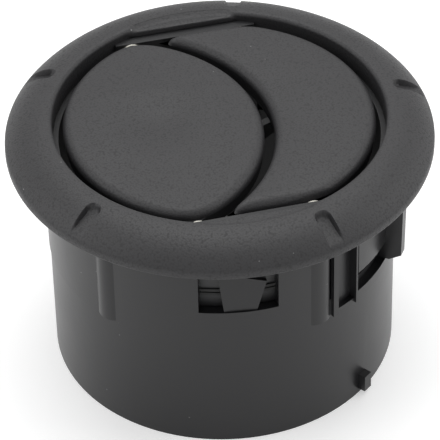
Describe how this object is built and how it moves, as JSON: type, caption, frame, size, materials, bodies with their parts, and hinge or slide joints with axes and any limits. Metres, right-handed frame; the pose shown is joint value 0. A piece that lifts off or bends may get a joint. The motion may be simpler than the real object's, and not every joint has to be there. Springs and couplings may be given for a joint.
{
  "type": "dashboard air vent",
  "caption": "Round car dashboard air vent: a turning face in a tube housing, with a dished lens-shaped flap and a crescent flap that tilt together to close or aim the air.",
  "frame": {"origin": "centre of the housing's rear rim, in the plane the vent stands on", "axes": "+Z along the vent axis out of the face, -Y towards the side of the front tongue window, +X towards the side finger seen at the right"},
  "size_m": [0.096, 0.096, 0.0627],
  "materials": {
    "housing_plastic": "smooth satin black, moulded",
    "grained_plastic": "fine matte grain, charcoal black",
    "inner_plastic": "plain moulded black",
    "ring_rubber": "soft black elastomer",
    "pin_steel": "drawn steel wire",
    "bush_plastic": "natural acetal"
  },
  "bodies": {
    "housing": {"housing": "housing_plastic"},
    "rotor": {"rotor_barrel": "inner_plastic", "friction_ring": "ring_rubber", "bezel_ring": "grained_plastic", "thumb_bush_front": "bush_plastic", "thumb_bush_back": "bush_plastic", "crescent_bush_front": "bush_plastic", "crescent_bush_back": "bush_plastic"},
    "thumb_flap": {"thumb_flap_cover": "grained_plastic", "thumb_flap_base": "inner_plastic", "thumb_pin_front": "pin_steel", "thumb_pin_back": "pin_steel"},
    "crescent_flap": {"crescent_flap_cover": "grained_plastic", "crescent_flap_base": "inner_plastic", "crescent_pin_front": "pin_steel", "crescent_pin_back": "pin_steel"},
    "link": {"link_rod": "inner_plastic"}
  },
  "joints": [
    {"name": "face_turn", "type": "hinge", "parent": "housing", "child": "rotor", "pos_m": [0, 0, 0.0559], "axis": [0, 0, 1], "continuous": true},
    {"name": "thumb_tilt", "type": "hinge", "parent": "rotor", "child": "thumb_flap", "pos_m": [-0.01247, -0.00288, 0.058], "axis": [0.225, -0.9744, 0], "range_deg": [0, 90]},
    {"name": "crescent_tilt", "type": "hinge", "parent": "rotor", "child": "crescent_flap", "pos_m": [0.01247, 0.00288, 0.058], "axis": [0.225, -0.9744, 0], "range_deg": [0, 90]},
    {"name": "link_swing", "type": "hinge", "parent": "thumb_flap", "child": "link", "pos_m": [-0.01798, -0.00415, 0.05234], "axis": [0.225, -0.9744, 0], "range_deg": [-90, 0]}
  ],
  "couplings": [
    {"joint": "crescent_tilt", "follows": "thumb_tilt", "ratio": 1},
    {"joint": "link_swing", "follows": "thumb_tilt", "ratio": -1}
  ]
}
